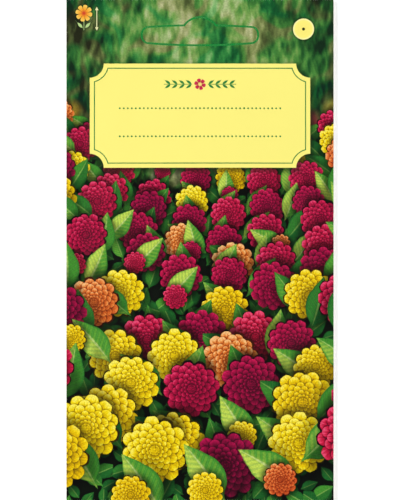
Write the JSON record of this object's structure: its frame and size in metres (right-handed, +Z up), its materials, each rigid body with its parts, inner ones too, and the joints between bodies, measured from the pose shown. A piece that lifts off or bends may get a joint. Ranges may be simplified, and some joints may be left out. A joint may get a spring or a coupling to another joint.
{
  "type": "seed packet",
  "caption": "Flat heat-sealed seed packet with a printed front and a die-cut hanging slot, its tab still in place, holding a small inner sachet of seeds.",
  "frame": {"origin": "on the surface that the packet lies on, under the middle of its outline", "axes": "+Z up, out of the printed front; +Y along the packet, towards the end with the hanging slot; +X to the right of the print"},
  "size_m": [0.08, 0.15, 0.0029],
  "materials": {
    "front_print": "full-colour print under a thin satin film",
    "back_paper": "cream coated paper under a thin satin film",
    "glassine": "smooth calendered glassine",
    "seed": "smooth, slightly glossy seed coat"
  },
  "bodies": {
    "root": {"front_web": "front_print", "back_web": "back_paper", "sachet_front": "glassine", "sachet_back": "glassine", "seeds": "seed"}
  },
  "joints": []
}
